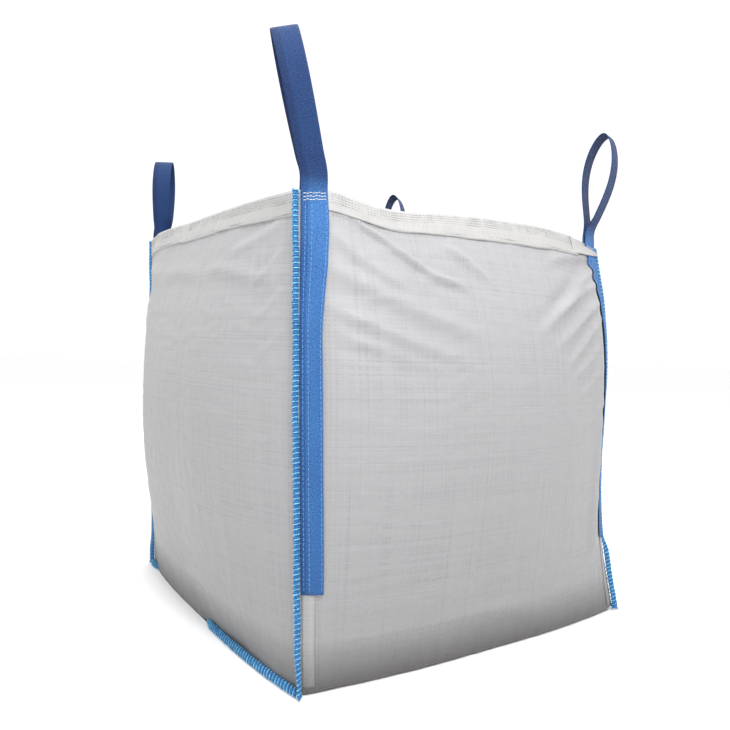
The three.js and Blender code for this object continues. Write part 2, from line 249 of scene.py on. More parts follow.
def smooth_face(face, across, up):
    """The filled face without creases: across and up run from 0 to 1."""
    start, end, bulge = FACES[face]
    across, up = np.broadcast_arrays(np.asarray(across, float), np.asarray(up, float))
    a, b = corner_point(start, up), corner_point(end, up)
    run = b - a
    outward = unit(np.stack([run[..., 1], -run[..., 0], np.zeros_like(run[..., 0])], axis=-1))
    wave = np.sin(math.pi * (BULGE_START + (1 - 2 * BULGE_START) * np.clip(up, 0, 1)))
    swell = bulge * wave * (1 - np.abs(2 * across - 1) ** BULGE_POWER)
    point = a + run * across[..., None] + outward * swell[..., None]
    width = np.linalg.norm(run, axis=-1)
    point[..., 2] += rim_rise(face, across * width) * smooth(RIM_REACH, 1.0, up)
    return point


def fold(s, z, start, end, width, height):
    """A crease from start to end, in metres across and up: a ridge with a hollow below it."""
    run = np.array(end, float) - np.array(start, float)
    length = np.linalg.norm(run)
    run = run / length
    t = ((s - start[0]) * run[0] + (z - start[1]) * run[1]) / length
    off = (s - start[0]) * run[1] - (z - start[1]) * run[0]
    off = off + 0.25 * width * np.sin(5 * t + start[0] * 40)
    taper = smooth(-0.15, 0.25, t) * smooth(1.15, 0.6, t)
    ridge = np.exp(-((off / width) ** 2))
    hollow = 0.55 * np.exp(-(((off - 1.9 * width) / (1.5 * width)) ** 2))
    return height * taper * (ridge - hollow)


# Creases of each face: start and end (metres across from its first seam, metres up), width and
# height. They spread from the loops' roots, where the cloth hangs, and die away on the bulge.
FOLDS = {
    "front": [
        ((0.115, 0.915), (0.200, 0.868), 0.006, 0.0040),
        ((0.185, 0.872), (0.275, 0.820), 0.007, 0.0050),
        ((0.262, 0.826), (0.355, 0.796), 0.008, 0.0042),
        ((0.320, 0.885), (0.430, 0.820), 0.010, 0.0036),
        ((0.061, 0.813), (0.384, 0.690), 0.017, 0.0042),
        ((0.058, 0.738), (0.341, 0.639), 0.015, 0.0034),
        ((0.056, 0.696), (0.296, 0.616), 0.013, 0.0026),
        ((0.060, 0.880), (0.230, 0.770), 0.014, 0.0028),
        ((0.860, 0.905), (0.551, 0.717), 0.012, 0.0050),
        ((0.845, 0.860), (0.610, 0.760), 0.009, 0.0034),
        ((0.820, 0.812), (0.600, 0.680), 0.011, 0.0044),
        ((0.810, 0.763), (0.640, 0.640), 0.009, 0.0036),
        ((0.790, 0.690), (0.660, 0.610), 0.008, 0.0028),
        ((0.790, 0.630), (0.670, 0.560), 0.008, 0.0024),
        ((0.640, 0.880), (0.865, 0.931), 0.010, 0.0032),
        ((0.720, 0.500), (0.830, 0.560), 0.010, 0.0018),
        ((0.300, 0.120), (0.620, 0.075), 0.018, 0.0022),
    ],
    "left": [
        ((0.030, 0.858), (0.300, 0.838), 0.020, 0.0026),
        ((0.300, 0.835), (0.640, 0.818), 0.018, 0.0022),
        ((0.640, 0.822), (0.930, 0.797), 0.016, 0.0024),
        ((0.925, 0.850), (0.845, 0.773), 0.009, 0.0024),
        ((0.935, 0.780), (0.860, 0.705), 0.009, 0.0022),
        ((0.935, 0.700), (0.880, 0.640), 0.009, 0.0018),
        ((0.925, 0.900), (0.740, 0.850), 0.012, 0.0024),
        ((0.060, 0.780), (0.150, 0.700), 0.014, 0.0020),
        ((0.450, 0.110), (0.700, 0.140), 0.020, 0.0018),
    ],
    "back": [
        ((0.060, 0.850), (0.330, 0.700), 0.015, 0.0040),
        ((0.060, 0.760), (0.280, 0.640), 0.013, 0.0030),
        ((0.840, 0.860), (0.600, 0.720), 0.014, 0.0040),
        ((0.830, 0.770), (0.640, 0.650), 0.011, 0.0030),
        ((0.420, 0.900), (0.560, 0.840), 0.012, 0.0024),
    ],
    "right": [
        ((0.030, 0.860), (0.260, 0.780), 0.014, 0.0030),
        ((0.900, 0.860), (0.680, 0.770), 0.014, 0.0030),
        ((0.030, 0.700), (0.160, 0.620), 0.011, 0.0022),
        ((0.300, 0.835), (0.700, 0.828), 0.018, 0.0020),
    ],
}


CREASE_GAIN = 1.8        # how much deeper the creases are made than the heights above
SLACK = 0.0030           # height of the broad waves in the loose cloth
RIPPLE = 0.0012          # height of the shallow ripples that run across
SHOULDER = 0.0105        # the ridge that stands beside the front right webbing
SHOULDER_FROM_SEAM = 0.078
SHOULDER_WIDTH = 0.028
SEAM_PULL = 0.0035       # how far a seam draws the cloth in beside it
TURNED_EDGE = 0.0020     # how far the turned-in edge lifts the cloth over it
GATHER = 0.0006          # height of the small gathers along a side panel's seam
NORMAL_STEP = 0.002      # share of a face over which its slope is taken


def unevenness(face, s, z, across, up, from_seam):
    """Slack waves, ripples and small puckers."""
    seed = list(FACES).index(face) * 10
    free = smooth(0.0, 0.09, from_seam) * smooth(1.0, 0.9, up)
    slack = SLACK * noise(s / 0.15, z / 0.19, seed) * free
    ripple_side = 0.35 + 0.65 * smooth(0.62, 0.10, across) if face in ("front", "back") else 0.45
    bent = z / 0.0125 + 1.5 * noise(s / 0.09, z / 0.12, seed + 4)
    ripples = RIPPLE * noise(s / 0.12, bent, seed + 1)
    ripples = ripples * ripple_side * smooth(0.03, 0.08, from_seam) * smooth(0.93, 0.8, up)
    wide_puckers = 0.0006 * noise(s / 0.026, z / 0.015, seed + 2)
    tall_puckers = 0.0004 * noise(s / 0.011, z / 0.030, seed + 3)
    return slack + ripples + (wide_puckers + tall_puckers) * smooth(0.02, 0.06, from_seam)


def side_edge(face, s, z, from_seam):
    """The turned-in edge of a side panel, seen through it, and the gathers along its seam."""
    middle = 0.5 * EDGE_FOLD
    turned = TURNED_EDGE * smooth(middle + 0.0014, middle - 0.0008, from_seam)
    seed = list(FACES).index(face) * 10 + 6
    return turned + GATHER * noise(s / 0.03, z / 0.014, seed) * smooth(0.05, 0.01, from_seam)


def relief(face, across, up):
    """How far the cloth stands out of its smooth shape."""
    width = face_width(face)
    s, z = across * width, EDGE_RADIUS + WALL_HEIGHT * up
    from_seam = np.minimum(s, width - s)
    height = unevenness(face, s, z, across, up, from_seam)
    if face == "front":
        shoulder = np.exp(-(((width - s - SHOULDER_FROM_SEAM) / SHOULDER_WIDTH) ** 2))
        height = height + SHOULDER * shoulder * smooth(0.10, 0.25, up) * smooth(0.97, 0.85, up)
    for crease in FOLDS[face]:
        height = height + CREASE_GAIN * fold(s, z, *crease)
    height = height - SEAM_PULL * smooth(0.016, 0.0, from_seam)
    if face in ("left", "right"):
        height = height + side_edge(face, s, z, from_seam)
    return height


def surface(face, across, up, lift=0.0):
    """Points on the creased face, moved out of it by lift."""
    across, up = np.broadcast_arrays(np.asarray(across, float), np.asarray(up, float))
    step = NORMAL_STEP
    along = smooth_face(face, across + step, up) - smooth_face(face, across - step, up)
    high, low = np.minimum(up + step, 1.0), np.minimum(up - step, 1.0 - 2 * step)
    rise = smooth_face(face, across, high) - smooth_face(face, across, low)
    normal = unit(np.cross(along, rise))
    distance = np.broadcast_to(relief(face, across, up) + lift, across.shape)
    return smooth_face(face, across, up) + normal * distance[..., None]


# ---- Materials -----------------------------------------------------------------------------
TAPE = 0.0028            # width of one woven tape
RIB = 0.0026             # the webbing's ribs, along it
CORD = 0.0034            # and its cords, across it
THREAD_BUMP = 0.0004
WHITE = (1, 1, 1)
# Colours are linear red, green and blue. A pair is the dark and the light end of a material.
WOVEN_COLOURS = (0.266, 0.265, 0.273), (0.304, 0.303, 0.311)
HEM_COLOURS = (0.300, 0.297, 0.294), (0.350, 0.346, 0.342)
EDGE_COLOURS = (0.28, 0.278, 0.282), (0.33, 0.328, 0.332)
WEBBING_COLOURS = (0.007, 0.050, 0.19), (0.070, 0.235, 0.53)
# Tints are multiplied over a colour.
# Painted shade: the cloth darkens near the floor.
FLOOR_SHADE = (0.27, 0.255, 0.24)
# Painted shade: the cloth darkens from high on the wall towards the bottom.
LOWER_CLOTH_SHADE = (0.76, 0.76, 0.755)
WORN_WEBBING = (0.80, 0.82, 0.88)
LOOP_SHADE = (0.16, 0.24, 0.34)        # painted shade: the free loops are darkened below the sewn legs' blue
# Painted shade: the webbing darkens towards the bottom.
LOWER_WEBBING_SHADE = (0.60, 0.72, 0.78)
WEBBING_CREASE_SHADE = (0.60, 0.68, 0.76)  # painted shade on the seam's side of the webbing's crease


def principled(name, roughness, sheen=0.0, specular=0.4):
    material = bpy.data.materials.new(name)
    material.use_nodes = True
    shader = material.node_tree.nodes["Principled BSDF"]
    shader.inputs["Roughness"].default_value = roughness
    shader.inputs["Sheen Weight"].default_value = sheen
    shader.inputs["Specular IOR Level"].default_value = specular
    return material, material.node_tree, shader


class Nodes:
    """A few short forms for building a node tree."""

    def __init__(self, tree):
        self.tree = tree

    def new(self, kind, **settings):
        node = self.tree.nodes.new(kind)
        for key, value in settings.items():
            setattr(node, key, value)
        return node

    def link(self, start, end):
        self.tree.links.new(start, end)

    def math(self, operation, first, second=None):
        node = self.new("ShaderNodeMath", operation=operation)
        for socket, value in zip(node.inputs, (first, second)):
            if isinstance(value, (int, float)):
                socket.default_value = value
            elif value is not None:
                self.link(value, socket)
        return node.outputs[0]

    def cloth_co(self):
        attribute = self.new("ShaderNodeAttribute", attribute_name="cloth_co")
        split = self.new("ShaderNodeSeparateXYZ")
        self.link(attribute.outputs["Vector"], split.inputs[0])
        return attribute.outputs["Vector"], split.outputs

    def height(self):
        split = self.new("ShaderNodeSeparateXYZ")
        self.link(self.new("ShaderNodeTexCoord").outputs["Object"], split.inputs[0])
        return split.outputs[2]

    def noise(self, co, scale, detail=2.0, stretch=None):
        if stretch:
            mapping = self.new("ShaderNodeMapping")
            mapping.inputs["Scale"].default_value = stretch
            self.link(co, mapping.inputs["Vector"])
            co = mapping.outputs[0]
        node = self.new("ShaderNodeTexNoise")
        node.inputs["Scale"].default_value = scale
        node.inputs["Detail"].default_value = detail
        self.link(co, node.inputs["Vector"])
        return node.outputs["Fac"]

    def ramp(self, factor, low, high, dark, light):
        node = self.new("ShaderNodeValToRGB")
        node.color_ramp.elements[0].position = low
        node.color_ramp.elements[1].position = high
        node.color_ramp.elements[0].color = (*dark, 1)
        node.color_ramp.elements[1].color = (*light, 1)
        self.link(factor, node.inputs[0])
        return node.outputs[0]

    def multiply(self, first, second, amount=1.0):
        node = self.new("ShaderNodeMix", data_type="RGBA", blend_type="MULTIPLY")
        node.inputs["Factor"].default_value = amount
        self.link(first, node.inputs["A"])
        self.link(second, node.inputs["B"])
        return node.outputs["Result"]

    def bump(self, height, shader, distance):
        node = self.new("ShaderNodeBump")
        node.inputs["Distance"].default_value = distance
        self.link(height, node.inputs["Height"])
        self.link(node.outputs[0], shader.inputs["Normal"])


def woven_material(name, colours, painted_shade=1.0):
    """White woven cloth: flat tapes over and under, uneven gaps between them, and painted shade,
    darker near the floor and towards the bottom, in the amount of the third argument."""
    material, tree, shader = principled(name, 0.5, sheen=0.1)
    n = Nodes(tree)
    co, axes = n.cloth_co()
    warp = n.math("SINE", n.math("MULTIPLY", axes[0], math.pi / TAPE))
    weft = n.math("SINE", n.math("MULTIPLY", axes[1], math.pi / TAPE))
    weave = n.math("MULTIPLY", warp, weft)
    warp_gaps = n.noise(co, 1.0, 2.0, stretch=(210, 1.6, 1))
    weft_gaps = n.noise(co, 1.0, 2.0, stretch=(1.6, 230, 1))
    tapes = n.math("ADD", warp_gaps, weft_gaps)
    tint = n.ramp(tapes, 0.70, 1.30, *colours)
    height_above_floor = n.height()
    # Painted shade: darker near the floor and darker towards the bottom, in the amount of the third
    # argument.
    floor_shade = n.ramp(height_above_floor, 0.0, 0.11, FLOOR_SHADE, WHITE)
    lower = n.ramp(height_above_floor, 0.05, 0.90, LOWER_CLOTH_SHADE, WHITE)
    colour = n.multiply(n.multiply(tint, floor_shade, painted_shade), lower, painted_shade)
    n.link(colour, shader.inputs["Base Color"])
    height = n.math("ADD", n.math("MULTIPLY", weave, 0.22), n.math("MULTIPLY", tapes, 1.6))
    n.bump(height, shader, 0.0005)
    return material


def webbing_material():
    """Blue lifting webbing: fine ribs, speckled yarns, and painted shade by its seam, on its loops and low
    down.
    """
    material, tree, shader = principled("webbing_blue", 0.70, sheen=0.08, specular=0.25)
    n = Nodes(tree)
    co, axes = n.cloth_co()
    ribs = n.math("SINE", n.math("MULTIPLY", axes[1], 2 * math.pi / RIB))
    cords = n.math("SINE", n.math("MULTIPLY", axes[0], 2 * math.pi / CORD))
    weave = n.math("MULTIPLY", ribs, cords)
    speckle = n.noise(co, 420, 2.0)
    tone = n.math("ADD", speckle, n.math("MULTIPLY", weave, 0.10))
    colour = n.ramp(tone, 0.30, 0.72, *WEBBING_COLOURS)
    worn = n.ramp(n.noise(co, 9, 2.0), 0.3, 0.7, WORN_WEBBING, WHITE)
    height = n.height()
    # Painted shade: the free loops are darkened.
    loop = n.ramp(height, 0.94, 0.985, WHITE, LOOP_SHADE)
    # Painted shade: darker towards the bottom.
    lower = n.ramp(height, 0.2, 0.9, LOWER_WEBBING_SHADE, WHITE)
    shaded = n.multiply(n.multiply(colour, worn), n.multiply(loop, lower))
    # Painted shade on the seam's side of the crease.
    creased = n.ramp(axes[0], WEBBING_CREASE - 0.0025, WEBBING_CREASE + 0.0005, WEBBING_CREASE_SHADE, WHITE)
    n.link(n.multiply(shaded, creased), shader.inputs["Base Color"])
    n.bump(n.math("ADD", weave, n.math("MULTIPLY", speckle, 1.2)), shader, THREAD_BUMP)
    return material


def thread_material(name, dark, light, scale):
    """Fuzzy thread: grain of the given scale runs between a dark and a light colour."""
    material, tree, shader = principled(name, 0.55, sheen=0.2)
    n = Nodes(tree)
    place = n.new("ShaderNodeTexCoord").outputs["Object"]
    grain = n.noise(place, scale, 3.0)
    n.link(n.ramp(grain, 0.35, 0.65, dark, light), shader.inputs["Base Color"])
    n.bump(grain, shader, THREAD_BUMP)
    return material


# The last argument sets how much painted shade near the floor and towards the bottom each cloth gets.
WOVEN = woven_material("woven_white", WOVEN_COLOURS)
HEM = woven_material("hem_white", HEM_COLOURS, painted_shade=0.0)
EDGE = woven_material("edge_white", EDGE_COLOURS, painted_shade=0.75)
WEBBING = webbing_material()
SEAM_BLUE = thread_material("seam_blue", (0.004, 0.070, 0.24), (0.015, 0.17, 0.42), 300)
SEAM_CYAN = thread_material("seam_cyan", (0.02, 0.20, 0.40), (0.20, 0.56, 0.70), 220)
WHITE_THREAD = thread_material("thread_white", (0.40, 0.41, 0.44), (0.70, 0.70, 0.69), 900)
HEM_THREAD = thread_material("thread_hem", (0.16, 0.16, 0.165), (0.34, 0.34, 0.345), 700)
BLUE_THREAD = thread_material("thread_blue", (0.03, 0.12, 0.34), (0.20, 0.42, 0.70), 900)


# ---- Cloth panels --------------------------------------------------------------------------
FACE_COLUMNS = 200
FACE_ROWS = 210
BASE_ROWS = 60
ROLL_ROWS = 8
SAG_ROWS = 16          # the lowest rows of a side panel, which sag over its floor seam
SAG_DOWN = 0.0150
SAG_OUT = 0.004
HEM_ROWS = 16
HEM_TOP = 1.002        # the hem's roll stands a little above the rim
HEM_OUT = 0.0021
HEM_RAISED = 0.009     # how much shorter the front hem is at its left end
FLAP_START = 0.752     # metres from the front face's left seam
FLAP_LENGTH = 0.122
FLAP_THICKNESS = 0.0012
FOLD_START = 0.003     # the folded cloth edge starts this far from its seam
FOLD_WIDTH = 0.0215


def column_places():
    """Across positions, closer together beside the seams."""
    t = np.linspace(0, 1, FACE_COLUMNS)
    return t - 0.10 * np.sin(2 * math.pi * t) / (2 * math.pi)


def wall_grid(face, lift):
    """Points over a whole face, moved out of it by lift."""
    across = column_places()[None, :]
    up = np.linspace(0, 1, FACE_ROWS)[:, None]
    return surface(face, across, up, lift)


def roll_grid(face, lift):
    """The cloth turning under from the wall's lowest row to the floor."""
    row = surface(face, column_places(), np.zeros(FACE_COLUMNS), 0.0)
    inward = 1 if face == "front" else -1
    angle = np.linspace(0, math.pi / 2, ROLL_ROWS + 1)[1:, None]
    radius = EDGE_RADIUS + lift
    y = row[None, :, 1] + inward * (EDGE_RADIUS - radius * np.cos(angle))
    z = EDGE_RADIUS - radius * np.sin(angle)
    return vector(row[None, :, 0], y, z)


def u_panel_grid(lift):
    """The main cloth from the back rim down, under the base and up to the front rim."""
    front = wall_grid("front", lift)
    back = wall_grid("back", lift)[:, ::-1]
    front_roll = roll_grid("front", lift)
    back_roll = roll_grid("back", lift)[:, ::-1]
    share = np.linspace(0, 1, BASE_ROWS + 2)[1:-1, None]
    y = front_roll[-1, :, 1] * (1 - share) + back_roll[-1, :, 1] * share
    along = np.clip((y - PLACE[1] + DEPTH / 2) / DEPTH, 0, 1)
    left = smooth_face("left", 1 - along, np.zeros_like(along))[..., 0]
    right = smooth_face("right", along, np.zeros_like(along))[..., 0]
    x = left + (right - left) * column_places()[None, :]
    base = vector(x, y, -lift)
    return np.concatenate([back[::-1], back_roll[::-1], base[::-1], front_roll[::-1], front])


def u_panel():
    """The main cloth, and its length in metres."""
    outer = u_panel_grid(0.0)
    inner = u_panel_grid(-CLOTH)
    length = distance_along(outer[:, FACE_COLUMNS // 2])
    co = vector(column_places()[None, :] * WIDTH, length[:, None], 0.0)
    piece = slab("bag_cloth", outer, inner, WOVEN, co)
    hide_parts("u_panel")
    return piece, float(length[-1])


def tucked(side, across):
    """Where the side panel sags over its floor seam, from 0 to 1."""
    from_back = across if side == "left" else 1 - across
    return smooth(0.03, 0.12, from_back) * smooth(0.60, 0.50, from_back)


def side_panel(side):
    """The left or right panel, sagging over its floor seam."""
    outer = wall_grid(side, 0.0)
    inner = wall_grid(side, -CLOTH)
    sign = -1 if side == "left" else 1
    sag = np.linspace(1, 0, SAG_ROWS)[:, None] ** 1.5 * tucked(side, column_places())[None, :]
    for grid in (outer, inner):
        grid[:SAG_ROWS, :, 2] -= SAG_DOWN * sag
        grid[:SAG_ROWS, :, 0] += sign * SAG_OUT * sag
    s = column_places()[None, :] * face_width(side)
    co = vector(s, np.linspace(0, WALL_HEIGHT, FACE_ROWS)[:, None], 0.0)
    piece = slab(f"side_cloth_{side}", outer, inner, WOVEN, co)
    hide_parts(f"side_panel_{side}")
    return piece


# Where each hem starts and ends across its face: the front one stops short of the right loop.
HEM_ENDS = {
    "front": (0.008, 0.868),
    "right": (0.008, 0.992),
    "back": (0.008, 0.992),
    "left": (0.008, 0.992),
}


def rim_hem(face):
    """The cloth turned down over the rim: a thin roll along the top and a stitched lower edge."""
    start, end = HEM_ENDS[face]
    across = (start + (end - start) * np.linspace(0, 1, FACE_COLUMNS))[None, :]
    raised = HEM_RAISED / WALL_HEIGHT * smooth(0.40, 0.10, across) * (face == "front")
    seed = list(FACES).index(face)
    low = HEM_UP + raised + 0.0020 * noise(across * 13, 0.0, seed + 52)
    up = low + (HEM_TOP - low) * np.linspace(0, 1, HEM_ROWS)[:, None]
    pucker = 0.0022 * noise(across * 17, up * 12, seed + 50) * smooth(1.0, HEM_UP, up) ** 2
    pucker = pucker + 0.0005 * noise(across * 60, up * 30, seed + 51)
    round_top = smooth(HEM_TOP, HEM_TOP - 0.008, up)
    out = 0.0006 + np.maximum(HEM_OUT + pucker, 0.0010) * round_top
    back = -0.0008 - 0.0012 * round_top
    outer = surface(face, across, up, out)
    inner = surface(face, across, up, back)
    co = vector(across * face_width(face), (up - HEM_UP) * WALL_HEIGHT, 0.0)
    piece = slab(f"hem_{face}", outer, inner, HEM, np.broadcast_to(co, outer.shape))
    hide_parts(f"rim_hem_{face}")
    return piece


def edge_fold(corner, face, at_start):
    """The cloth's own edge, folded back beside the seam; it shows below the webbing."""
    t = np.linspace(0, 1, 12)[None, :]
    up = np.linspace(0.0, STRAP_UP + 0.03, 60)[:, None]
    s = FOLD_START + FOLD_WIDTH * t + 0.0008 * noise(up * 9, 0.0, 2) * t
    share = s / face_width(face)
    across = share if at_start else 1 - share
    out = 0.0009 + 0.0011 * t + 0.0006 * noise(up * 14, t * 2, 6)
    outer = surface(face, across, up, out)
    inner = surface(face, across, up, 0.0002)
    if not at_start:
        outer, inner = outer[:, ::-1], inner[:, ::-1]
    return slab(f"edge_fold_{corner}", outer, inner, EDGE, vector(s, up * WALL_HEIGHT, 0.0))


def hem_flap():
    """The loose end of the front hem, pointing over the webbing of the front right loop."""
    t = np.linspace(0, 1, 24)[None, :]
    v = np.linspace(0, 1, 9)[:, None]
    s = FLAP_START + FLAP_LENGTH * t
    low = HEM_UP + (0.004 + 0.020 * t) / WALL_HEIGHT
    high = 1.001 - 0.022 * t / WALL_HEIGHT
    up = low + (high - low) * v
    out = 0.0030 + 0.0055 * smooth(0.30, 0.75, t) + 0.0016 * np.sin(7 * t + 2 * v)
    across = s / face_width("front")
    outer = surface("front", across, up, out)
    inner = surface("front", across, up, out - FLAP_THICKNESS)
    return slab("hem_flap", outer, inner, HEM, vector(s, up * WALL_HEIGHT, 0.0))


# ---- Webbing -------------------------------------------------------------------------------
STRAP_COLUMNS = 15
MIDDLE_COLUMN = STRAP_COLUMNS // 2
LEG_ROWS = 110
LOOP_ROWS = 60
ROOT_RISE = 0.055      # the sewn leg's line has turned into the loop's own at this height
CROWN_HALF_GAP = 0.0016
DRAWN_IN = 0.30        # how much narrower the webbing looks below the hem


def strap_across(face, at_start, s, up=1.0):
    """Across position of a point s from the webbing's seam-side edge. Below the hem the webbing
    is drawn toward the seam and folds a little, so it looks narrower."""
    drawn = smooth(0.95, 0.70, np.asarray(up, float))
    from_seam = STRAP_FROM_SEAM * (0.5 - 0.4 * drawn)
    place = from_seam + s * (1 - DRAWN_IN * drawn + 0.05 * smooth(0.5, 0.2, up))
    share = place / face_width(face)
    return share if at_start else 1 - share


def webbing_lift(from_seam, up):
    """The sewn webbing creases along a line a quarter in, and its free edge curls off the cloth."""
    sewn_down = smooth(1.0, 0.93, up)
    groove = -0.0019 * np.exp(-(((from_seam - WEBBING_CREASE) / 0.0024) ** 2)) * sewn_down
    third = -0.0010 * smooth(WEBBING_CREASE, WEBBING_CREASE - 0.0030, from_seam) * sewn_down
    curl_height = smooth(0.45, 0.60, up) * smooth(0.92, 0.80, up)
    curl = 0.0022 * smooth(0.038, 0.052, from_seam) * curl_height
    return groove + third + curl


def loop_half(share):
    """Half the opening of a standing loop, at a share of its height: widest above the middle."""
    share = np.clip(share, 0, 1)
    return LOOP_HALF_WIDTH * np.sin(math.pi * share ** 1.55) ** (0.8 - 0.25 * share)


def joint_of(corner):
    return next(j for j in frame["joints"] if j["name"] == f"loop_{corner}_swing")


def loop_frame(corner, front):
    """Pivot, width direction, outward direction and up direction of a standing loop."""
    info = CORNERS[corner]
    pivot = np.array(joint_of(corner)["pos_m"], float)
    facing = 0 if front else 180
    basis = Matrix.Rotation(math.radians(facing + info["turn"]), 3, "Z")
    lean = Matrix.Rotation(math.radians(info["out_lean"]), 3, "X") @ Matrix.Rotation(
        math.radians(info["side_lean"]), 3, "Y")
    turned = np.array(basis @ lean)
    return pivot, turned[:, 0], -turned[:, 1], turned[:, 2]


def sewn_legs(face, at_start, s):
    """Rows of points up the outer leg (key 1) and the inner leg (key -1)."""
    ups = np.linspace(STRAP_UP, 1.0, LEG_ROWS)[:, None]
    across = strap_across(face, at_start, s[None, :], ups)
    legs = {}
    for sign, lift in ((1, STRAP_LIFT), (-1, INNER_LIFT)):
        shaped = lift + webbing_lift(s[None, :], ups) * (sign > 0)
        legs[sign] = surface(face, across, ups, shaped)
    return legs


def loop_side(leg_top, sign, corner, front, side):
    """One side of the free loop, from the rim to the crown: the leg's own line turns into the
    loop's. side holds each column's distance from the middle of the webbing."""
    pivot, wide, out, up_dir = loop_frame(corner, front)
    share = 0.5 - 0.5 * np.cos(np.linspace(0, math.pi, LOOP_ROWS))
    height = (share * CORNERS[corner]["loop"])[:, None, None]
    half = np.maximum(loop_half(share), CROWN_HALF_GAP)[:, None, None]
    loop = pivot + side[None, :, None] * wide + height * up_dir + sign * half * out
    rise = height + (pivot[2] - leg_top[:, 2].mean())
    straight = leg_top[None] + np.array([0, 0, 1.0]) * rise
    weight = smooth(-0.01, ROOT_RISE, height)
    return straight * (1 - weight) + loop * weight


def webbing(corner, face, at_start):
    """One length of webbing: up the outside, round the loop and down the inside. Also its length."""
    s = np.linspace(0, STRAP_WIDTH, STRAP_COLUMNS)
    side = s - STRAP_WIDTH / 2
    if not at_start:
        side = -side
    legs = sewn_legs(face, at_start, s)
    outer, inner = (loop_side(legs[sign][-1], sign, corner, face == "front", side) for sign in (1, -1))
    middle = np.concatenate([legs[1], outer, inner[:-1][::-1], legs[-1][::-1]])
    if not at_start:
        middle = middle[:, ::-1]
        s = s[::-1]
    edge = np.abs(side) / (STRAP_WIDTH / 2)
    thick = STRAP_THICKNESS / 2 * np.sqrt(np.clip(1.06 - edge ** 10, 0.05, 1))
    half_thick = grid_normals(middle) * thick[None, :, None]
    length = distance_along(middle[:, MIDDLE_COLUMN])
    co = vector(s[None, :], length[:, None], 0.0)
    piece = slab(f"webbing_{corner}", middle + half_thick, middle - half_thick, WEBBING, co)
    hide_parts(f"strap_outer_{corner}", f"lift_loop_{corner}", f"strap_inner_{corner}")
    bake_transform(piece)
    return piece, float(length[-1])


# ---- Threads -------------------------------------------------------------------------------
# Rows of stitches: the distance from one stitch to the next, and a stitch's length and radius.
STRAP_STITCH = dict(pitch=0.0095, length=0.0062, radius=0.00055)
CROSS_STITCH = dict(pitch=0.0056, length=0.0046, radius=0.0008)
HEM_STITCH = dict(pitch=0.0070, length=0.0050, radius=0.00055)
STRAP_STITCH_ROWS = (0.0075, 0.0195, 0.0475)          # from the webbing's seam-side edge
CROSS_STITCH_ROWS = (0.007, 0.013, 0.019)             # below the rim
CROSS_STITCHES = 8
HEM_STITCH_ROWS = (0.006, 0.028, 0.033, 0.038, 0.043)  # above the hem's lower edge
HEM_STITCH_LIFT = 0.0027
CORNER_SEAM_WIDTH = 0.0145
CORNER_SEAM_PITCH = 0.0095
FLOOR_SEAM_WIDTH = 0.0165
FLOOR_SEAM_PITCH = 0.0105
FLOOR_SEAM_HEIGHT = 0.0165
KNOT_TAILS = 4
KNOT_THREAD = 0.0019
CORE_SIDES = 10
CORE_STEP = 0.005
TURN_POINTS = 14                                      # points in each turn of a wound thread


def ring_faces(start, count, sides):
    """The quads between count rings of points, and the two end faces."""
    faces = []
    for i in range(count - 1):
        for k in range(sides):
            a = start + i * sides + k
            b = start + i * sides + (k + 1) % sides
            faces.append((a, b, b + sides, a + sides))
    faces.append(tuple(start + k for k in reversed(range(sides))))
    faces.append(tuple(start + (count - 1) * sides + k for k in range(sides)))
    return faces


def tube(paths, radius, sides=6):
    """Points and faces of closed tubes along several paths."""
    points, faces = [], []
    angle = np.linspace(0, 2 * math.pi, sides, endpoint=False)
    helper = np.array([0.31, 0.52, 0.79])   # a direction that no path follows
    for path in paths:
        path = np.asarray(path, float)
        ahead = unit(np.gradient(path, axis=0))
        side = unit(np.cross(ahead, helper))
        other = np.cross(ahead, side)
        ring = side[:, None] * np.cos(angle)[None, :, None] + other[:, None] * np.sin(angle)[None, :, None]
        faces += ring_faces(len(points), len(path), sides)
        points.extend((path[:, None] + ring * radius).reshape(-1, 3))
    return points, faces


def stitches(name, face, places, radius, material):
    """Short raised stitches: places are (across, up) ends on a face, and a lift."""
    paths = []
    t = np.linspace(0, 1, 5)
    for (a0, u0), (a1, u1), lift in places:
        arch = lift + radius * 0.9 * np.sin(math.pi * t) - radius * 0.6
        paths.append(surface(face, a0 + (a1 - a0) * t, u0 + (u1 - u0) * t, arch))
    points, faces = tube(paths, radius, sides=5)
    return new_object(name, points, faces, material)


def strap_stitches(corner, face, at_start):
    """Three long rows down the webbing: one each side of its crease and one near its free edge."""
    rows = []
    lift = STRAP_LIFT + STRAP_THICKNESS / 2
    for s in STRAP_STITCH_ROWS:
        position = STRAP_UP + 0.008 / WALL_HEIGHT
        while position < 1 - 0.030 / WALL_HEIGHT:
            end = position + STRAP_STITCH["length"] / WALL_HEIGHT
            across = strap_across(face, at_start, s, position)
            rows.append(((across, position), (across, end), lift + float(webbing_lift(s, position))))
            position += STRAP_STITCH["pitch"] / WALL_HEIGHT
    piece = stitches(f"webbing_stitches_{corner}", face, rows, STRAP_STITCH["radius"], BLUE_THREAD)
    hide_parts(f"strap_stitch_{corner}")
    return piece


def cross_stitches(corner, face, at_start):
    """Three rows across the root of the loop."""
    rows = []
    lift = STRAP_LIFT + STRAP_THICKNESS / 2
    for k, below in enumerate(CROSS_STITCH_ROWS):
        for i in range(CROSS_STITCHES):
            s = 0.004 + i * CROSS_STITCH["pitch"]
            tilt = 0.0008 * math.sin(2.3 * i + k)
            up = 1 - (below + tilt) / WALL_HEIGHT
            start = (strap_across(face, at_start, s), up)
            end = (strap_across(face, at_start, s + CROSS_STITCH["length"]), up)
            rows.append((start, end, lift))
    piece = stitches(f"cross_stitches_{corner}", face, rows, CROSS_STITCH["radius"], WHITE_THREAD)
    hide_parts(f"loop_tack_{corner}")
    return piece


